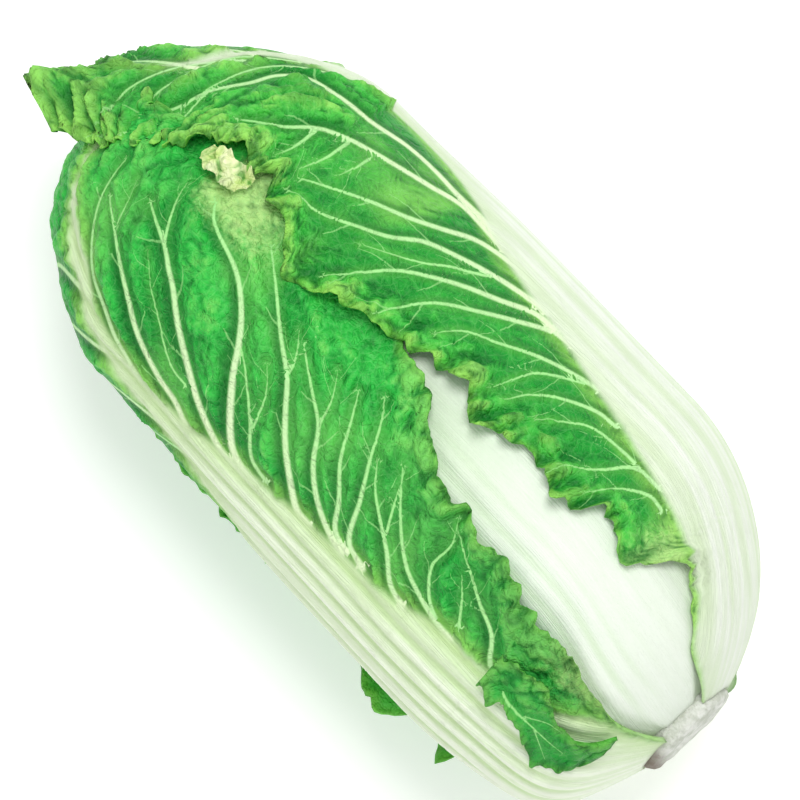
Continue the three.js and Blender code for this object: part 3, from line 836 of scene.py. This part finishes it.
rightLeaf["bend"] = beakBend
rightLeaf["shadeAt"] = lambda place, side: 0.85 * smooth(side, 10, 34) * smooth(-place, -1.6, -0.9)
rightLeaf["outline"] = lambda place, side: (1 - 0.9 * smooth(side, -6, 12) * smooth(place, 2.1, 2.4)) * (
    1 - 0.95 * smooth(side, 20, 28) * smooth(place, 1.5, 1.8))
rightLeaf["paleAt"] = lambda place, side: 0.8 * smooth(-place, -0.9, -0.6)
rightLeaf["ruffle"] = lambda place, side: (
    smooth((along(rightLeaf["low"], place) - side) * 1.3, -26, -4)
    * smooth(place, 0.7, 0.95) * (1 - smooth(place, 2.3, 2.6)))
rightLeaf["crumple"] = lambda place, side: smooth(place, 2.66, 2.85) * (1 - 0.5 * smooth(place, 2.88, 3.04))
rightLeaf["veins"] = [
    trail(1.8, 1.56, 1, 1.62, 2, 1.7, 2, 1.78, 3, 1.86, 2, 1.96, -3, 2.08, -5, 2.2, -5, 2.27, -10,
          2.32, -18, 2.43, -26, 2.52, -34, 2.64, -38, 2.74, -43),
    trail(0.6, 2.44, -28, 2.48, -38, 2.6, -45),
    trail(1.8, 1.52, -2, 1.6, -1, 1.67, -1, 1.74, -5, 1.8, -8, 1.88, -12, 1.95, -16, 2.02, -22, 2.1, -29,
          2.25, -34),
    trail(0.8, 2.01, -23, 2.01, -31, 2.03, -38),
    trail(0.8, 1.94, -16, 1.94, -26, 1.96, -36),
    trail(0.7, 1.88, -14, 1.88, -21, 1.89, -28),
    trail(1.6, 1.42, -3, 1.48, -4, 1.57, -8, 1.64, -15, 1.71, -21, 1.79, -26, 1.86, -31, 1.94, -37),
    trail(1.5, 1.34, -8, 1.4, -10, 1.47, -13, 1.56, -18, 1.64, -23, 1.7, -30, 1.77, -35, 1.85, -40,
          1.94, -42),
    trail(0.8, 1.47, -13, 1.51, -18, 1.56, -23, 1.6, -28, 1.66, -33, 1.73, -38),
    trail(1.4, 1.3, -11, 1.35, -12, 1.42, -18, 1.5, -24, 1.57, -30, 1.63, -36, 1.68, -44, 1.73, -52),
    trail(1.3, 1.24, -10, 1.29, -12, 1.36, -19, 1.43, -26, 1.51, -34, 1.55, -41, 1.58, -49),
    trail(1.1, 1.12, -15, 1.17, -17, 1.26, -22, 1.35, -29, 1.42, -34, 1.46, -41),
    trail(0.8, 1.15, -17, 1.19, -21, 1.24, -27, 1.26, -33, 1.28, -40),
    trail(1.0, 1.03, -20, 1.08, -21, 1.16, -27, 1.21, -33, 1.24, -40),
    trail(1.0, 0.84, -22, 0.89, -23, 0.97, -24, 1.06, -26, 1.11, -31, 1.16, -37),
    trail(0.9, 0.88, -23, 0.93, -25, 0.97, -32, 1.01, -38, 1.05, -43),
    trail(0.9, 0.78, -25, 0.84, -26, 0.92, -34, 0.96, -42),
]
backRoots = [0.9, 1.1, 1.3, 1.5, 1.66, 1.82, 1.98, 2.14, 2.3, 2.46, 2.62]
rightLeaf["veins"] += fanVeins(rightLeaf, True, backRoots, 0.42, 1.3)
rightLeaf["veins"] += fanVeins(rightLeaf, False, [2.2, 2.36, 2.5], 0.35, 1.0)
rightLeaf["twigs"] = branches(rightLeaf["veins"], np.random.default_rng(4))

centreLeaf = {
    **leafBasics,
    "centre": 5, "end": 2.64, "columns": 120, "rows": 200, "seed": 9,
    "low": pairs(0, -46, 0.57, -50, 1, -58, 1.77, -64, 2.13, -56, 2.64, -16),
    "high": pairs(0, 44, 0.57, 48, 1, 58, 1.77, 64, 2.13, 56, 2.64, 16),
    "ribLow": pairs(0, -50, 0.57, -54, 1, -50, 1.5, -32, 2.0, -14, 2.64, -3),
    "ribHigh": pairs(0, 48, 0.57, 52, 1, 50, 1.5, 32, 2.0, 14, 2.64, 3),
    "ridgeSpacing": 8.0, "ridgeHeight": 0.4, "swell": 0.9, "petiole": 4.5, "frill": 1.0,
}
centreLeaf["shadeAt"] = lambda place, side: 0.9 * smooth(place, 0.9, 1.35) * smooth(-side, -14, 4)
centreLeaf["ridgeAt"] = lambda side: 1 - 0.85 * smooth(side, -8, 2)
centreLeaf["level"] = lambda place, side: (
    layers["centre"] - 4.1 * (1 - smooth(np.abs(side - 1), 16, 26)) * (1 - smooth(place, 1.15, 1.55))
    - 2.6 * smooth(np.abs(side - 1), 16, 26) * smooth(-place, -0.95, -0.5)
    - 1.6 * np.exp(-(((place - 0.42) / 0.25) ** 2)))
centreLeaf["veins"] = []
for toHigh in (True, False):
    centreLeaf["veins"] += fanVeins(centreLeaf, toHigh, [1.1, 1.35, 1.6, 1.85], 0.4, 1.0)

lowerLeaf = {
    **leafBasics,
    "centre": 180, "end": 2.86, "columns": 150, "rows": 220, "seed": 13,
    "low": pairs(0, -50, 0.4, -54, 1.03, -66, 1.37, -74, 1.8, -72, 2.04, -66, 2.3, -56, 2.55, -46,
        2.75, -32, 2.86, -16),
    "high": pairs(0, 50, 0.4, 54, 0.7, 60, 0.8, 72, 0.88, 66, 1.0, 76, 1.08, 74, 1.16, 66, 1.37, 74,
        1.8, 74, 2.04, 68, 2.3, 58, 2.55, 48, 2.75, 34, 2.86, 16),
    "ribLow": pairs(0, -48, 0.5, -46, 1.03, -34, 1.43, -20, 1.77, -9, 2.1, -5, 2.86, -1),
    "ribHigh": pairs(0, 48, 0.5, 46, 1.03, 34, 1.43, 20, 1.77, 9, 2.1, 5, 2.86, 1),
}
lowerLeaf["level"] = lambda place, side: -8 * smooth(side, 58, 78) * smooth(place, 0.7, 0.82) * (
    1 - smooth(place, 1.1, 1.25))
lowerLeaf["veins"] = fanVeins(lowerLeaf, True, [0.6, 0.8, 1.0, 1.18, 1.36, 1.54, 1.72, 1.9], 0.42, 1.3)
lowerLeaf["veins"] += fanVeins(lowerLeaf, False, [0.66, 0.86, 1.06, 1.24, 1.42, 1.6, 1.78, 1.96], 0.42, 1.3)
lowerLeaf["twigs"] = branches(lowerLeaf["veins"], np.random.default_rng(5))

# The folded lobe at the foot of the left leaf.
leftLobe = {
    **leafBasics,
    "centre": -50, "start": 0.28, "end": 0.8, "columns": 60, "rows": 110, "seed": 17, "jag": 1.3,
    "low": pairs(0.28, 20, 0.3, 12, 0.34, 5, 0.42, 2, 0.49, 1, 0.55, 6, 0.64, 9, 0.7, 11, 0.8, 14),
    "high": pairs(0.28, 25, 0.33, 20, 0.42, 18, 0.5, 22, 0.6, 27, 0.7, 28, 0.8, 24),
    "ribLow": pairs(0.28, 190, 0.8, 190),
    "ribHigh": pairs(0.28, 180, 0.8, 180),
    "frill": 2.5, "frillWidth": 6, "pucker": 0.7, "sink": 0.5, "blade": 0.8, "petiole": 0.8,
    "veins": [trail(0.45, 0.72, 16, 0.66, 15, 0.54, 13, 0.42, 10), trail(0.3, 0.62, 15, 0.54, 18, 0.48, 18),
              trail(0.3, 0.56, 13, 0.5, 8, 0.46, 4)],
}
leftLobe["shadeAt"] = lambda place, side: 0.45 + 0 * place
leftLobe["level"] = lambda place, side: (
    -1.6 - 2.5 * smooth(place, 0.28, 0.42) * (1 - smooth(place, 0.66, 0.8)))

# The crumpled pale leaf tip that stands out between the two wrappers.
paleTuft = {
    **leafBasics,
    "centre": 12, "start": 2.0, "end": 2.18, "columns": 80, "rows": 100, "seed": 19, "jag": 1.1,
    "low": pairs(2.0, -3, 2.04, -5, 2.08, -6, 2.12, -5, 2.16, -4, 2.18, -3),
    "high": pairs(2.0, 0, 2.04, 1, 2.08, 2, 2.12, 3, 2.16, 3, 2.18, 2),
    "ribLow": pairs(1.9, 190, 2.14, 190),
    "ribHigh": pairs(1.9, 180, 2.14, 180),
    "frill": 2.5, "crimp": 0.6, "crimpLength": 6.0, "frillWidth": 8, "pucker": 2.6, "sink": 0.0,
    "blade": 0.8, "petiole": 0.8,
    "veins": [trail(0.15, 1.97, -2, 2.03, -2, 2.1, 0), trail(0.15, 1.99, -2, 2.04, -4, 2.09, -4)],
}
paleTuft["level"] = lambda place, side: 3.2 - 2.4 * smooth(place, 1.99, 2.07) + 2 * smooth(place, 2.1, 2.16)
paleTuft["ruffle"] = lambda place, side: 1.4 * (1 - smooth(place, 2.1, 2.16))
paleTuft["paleAt"] = lambda place, side: smooth(place, 2.01, 2.07) * (1 - smooth(place, 2.11, 2.15))

leafPieces = [
    ("left_leaf", leftLeaf, wrapperGreen, "left_wrapper_leaf", "green_leaf"),
    ("right_leaf", rightLeaf, rightGreen, "right_wrapper_leaf", "green_leaf"),
    ("middle_leaf", centreLeaf, centreGreen, "centre_leaf", "white_rib"),
    ("under_leaf", lowerLeaf, wrapperGreen, "lower_leaf", "green_leaf"),
]
for pieceName, leaf, material, node, slotName in leafPieces:
    piece = makeLeaf(pieceName, leaf, material)
    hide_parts(node)

# The leaves inside, one behind the other, each turned by the same angle.
for number in range(layers["heartLeaves"]):
    inner = {
        **leafBasics,
        "centre": 5 + 137.5 * (number + 1),
        "end": 2.82, "columns": 60, "rows": 90,
        "seed": 20 + number,
        "low": pairs(0, -80, 2, -92, 2.82, -30),
        "high": pairs(0, 80, 2, 92, 2.82, 30),
        "ribLow": pairs(0, -70, 0.8, -50, 1.5, -22, 2.2, -6, 2.82, -2),
        "ribHigh": pairs(0, 70, 0.8, 50, 1.5, 22, 2.2, 6, 2.82, 2),
        "pucker": 0.5, "frill": 0.5, "jag": 0.4, "swell": 0.3, "blade": 1.6, "petiole": 3.6,
    }
    inner["level"] = lambda place, side, n=number: place * 0 + layers["heart"] + layers["heartPitch"] * n
    inner["veins"] = fanVeins(inner, True, [0.9, 1.2, 1.5, 1.8, 2.1], 0.4, 0.9)
    inner["veins"] += fanVeins(inner, False, [0.95, 1.25, 1.55, 1.85, 2.15], 0.4, 0.9)
    piece = makeLeaf("inside_leaf_" + str(number + 1), inner, heartYellow)
    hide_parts("heart_leaf_" + str(number + 1))

lobe = makeLeaf("left_leaf_lobe", leftLobe, wrapperGreen)
tuft = makeLeaf("pale_tuft", paleTuft, tuftCream)
print("leaves made")


# the cut stem

stemPlan = {
    "steps": 96, "narrower": 1.3, "pith": tint(238, 240, 232), "shade": tint(196, 202, 186),
    "speck": tint(170, 172, 150), "brown": tint(96, 74, 52),
}


def stemFinish():
    material, tree, shader = newMaterial("cut_stem_pith")
    spot = onObject(tree)
    blotch = speckle(tree, spot, 160, 4, 0.65)
    grain = speckle(tree, spot, 700, 4, 0.7)
    skin = mixTint(tree, fade(tree, blotch, 0.35, 0.65), stemPlan["pith"], stemPlan["shade"])
    skin = mixTint(tree, fade(tree, grain, 0.55, 0.75, 0, 0.6), skin, stemPlan["speck"])
    parts = addNode(tree, "ShaderNodeSeparateXYZ")
    feed(tree, parts.inputs[0], spot)
    low = plus(tree, parts.outputs[1], times(tree, blotch, 0.012))
    brown = fade(tree, low, (axisY - 10) * mm, (axisY - 19) * mm, 0, 0.85)
    feed(tree, shader.inputs["Base Color"], mixTint(tree, brown, skin, stemPlan["brown"]))
    feed(tree, shader.inputs["Roughness"], fade(tree, grain, 0.3, 0.7, 0.55, 0.8))
    addBump(tree, shader, plus(tree, blotch, grain), 0.9, 0.0015)
    return material


def makeStem():
    bm = bmesh.new()  # a profile spun round X, then roughened
    face = stemHigh.x / mm
    back = stemLow.x / mm
    profile = [(back, 0.0), (back, 17.0), (face - 12, 20.0), (face - 6, 20.8), (face - 2.5, 20.6),
               (face - 1.0, 19.8), (face - 0.2, 18.0), (face, 15.0), (face - 0.3, 10.0), (face - 0.5, 5.0),
               (face - 0.4, 0.0)]
    line = [bm.verts.new((x, max(r - stemPlan["narrower"], 0), 0)) for x, r in profile]
    edges = [bm.edges.new(pair) for pair in zip(line, line[1:])]
    bmesh.ops.subdivide_edges(bm, edges=edges, cuts=3)
    bmesh.ops.spin(bm, geom=bm.verts[:] + bm.edges[:], axis=(1, 0, 0), cent=(0, 0, 0),
                   steps=stemPlan["steps"], angle=math.tau, use_merge=True)
    bmesh.ops.remove_doubles(bm, verts=bm.verts[:], dist=0.001)
    bmesh.ops.recalc_face_normals(bm, faces=bm.faces[:])
    co = np.array([v.co for v in bm.verts])
    radial = co * np.array([0, 1, 1])
    length = np.maximum(np.linalg.norm(radial, axis=1), 1e-6)[:, None]
    bumps = softNoise(co, 7, 31) * 0.7 + softNoise(co, 3, 32) * 0.35
    rim = smooth(length[:, 0], 10, 20)
    co = co + radial / length * (bumps * rim)[:, None]
    co[:, 0] += np.where(co[:, 0] > face - 4, softNoise(co, 6, 33) * 0.5 - 0.4, 0)
    co[:, 1] -= baseSway(co[:, 0])
    for vert, point in zip(bm.verts, (co + np.array([0, axisY, axisZ])) * mm):
        vert.co = point
    piece = settle(bm, "cut_stem", stemFinish())
    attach(piece, "root")
    return piece


stemPiece = makeStem()
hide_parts("stem")


def budFinish():
    material, tree, shader = newMaterial("heart_bud_yellow")
    blotch = speckle(tree, onObject(tree), 90, 3, 0.6)
    skin = mixTint(tree, fade(tree, blotch, 0.3, 0.7), tint(226, 230, 150), tint(246, 246, 206))
    feed(tree, shader.inputs["Base Color"], skin)
    feed(tree, shader.inputs["Roughness"], fade(tree, blotch, 0.3, 0.7, 0.4, 0.6))
    return material


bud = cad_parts["heart_bud"]
bud.data.materials.clear()
bud.data.materials.append(budFinish())
print("stem made")

# floor, light and camera

studio = {
    "floor": tint(250, 250, 250), "floorGlow": 0.22, "sky": 0.64, "key": 17.0, "fill": 5.0,
    "distance": 2.0, "lens": 254.5, "tilt": 9.0, "turn": 46.3, "raise": 0.0011, "slide": 0.0009,
}


def makeFloor():
    bm = bmesh.new()
    bmesh.ops.create_grid(bm, x_segments=4, y_segments=4, size=3)
    material, tree, shader = newMaterial("pale_floor")
    settings = {
        "Base Color": studio["floor"],
        "Roughness": 0.9,
        "Specular IOR Level": 0.1,
        "Emission Color": (1, 1, 1, 1),
        "Emission Strength": studio["floorGlow"],
    }
    for label, value in settings.items():
        shader.inputs[label].default_value = value
    settle(bm, "floor", material)


def makeLight(name, spot, target, size, power):
    light = bpy.data.lights.new(name, "AREA")
    light.shape = "DISK"
    light.size = size
    light.energy = power
    lamp = bpy.data.objects.new(name, light)
    lamp.location = spot
    lamp.rotation_euler = (Vector(target) - Vector(spot)).to_track_quat("-Z", "Y").to_euler()
    bpy.context.scene.collection.objects.link(lamp)


def makeCamera():
    tilt = math.radians(studio["tilt"])
    turn = math.radians(studio["turn"])
    towards = Vector((math.sin(tilt), 0, math.cos(tilt)))
    level = Vector((math.cos(tilt), 0, -math.sin(tilt)))
    right = level * math.cos(turn) + Vector((0, math.sin(turn), 0))
    up = level * -math.sin(turn) + Vector((0, math.cos(turn), 0))
    aim = Vector((shoulderX - 70, axisY, axisZ)) * mm
    spot = aim + towards * studio["distance"] + up * studio["raise"] - right * studio["slide"]
    lens = bpy.data.cameras.new("camera")
    lens.lens = studio["lens"]
    lens.clip_end = 20
    camera = bpy.data.objects.new("camera", lens)
    camera.matrix_world = Matrix((
        (right.x, up.x, towards.x, spot.x),
        (right.y, up.y, towards.y, spot.y),
        (right.z, up.z, towards.z, spot.z),
        (0, 0, 0, 1),
    ))
    bpy.context.scene.collection.objects.link(camera)
    bpy.context.scene.camera = camera
    return right, up, towards


scene = bpy.context.scene
makeFloor()
right, up, towards = makeCamera()
key = towards * 1.6 + up * 0.65 + right * 0.15
fill = towards * 1.0 - up * 1.2 - right * 0.5
makeLight("key_light", key, (0, 0, 0.06), 0.8, studio["key"])
makeLight("fill_light", fill, (0, 0, 0.06), 1.2, studio["fill"])
world = bpy.data.worlds.new("studio")
world.use_nodes = True
world.node_tree.nodes["Background"].inputs["Color"].default_value = (1, 1, 1, 1)
world.node_tree.nodes["Background"].inputs["Strength"].default_value = studio["sky"]
scene.world = world
scene.view_settings.view_transform = "Standard"
print("studio made")
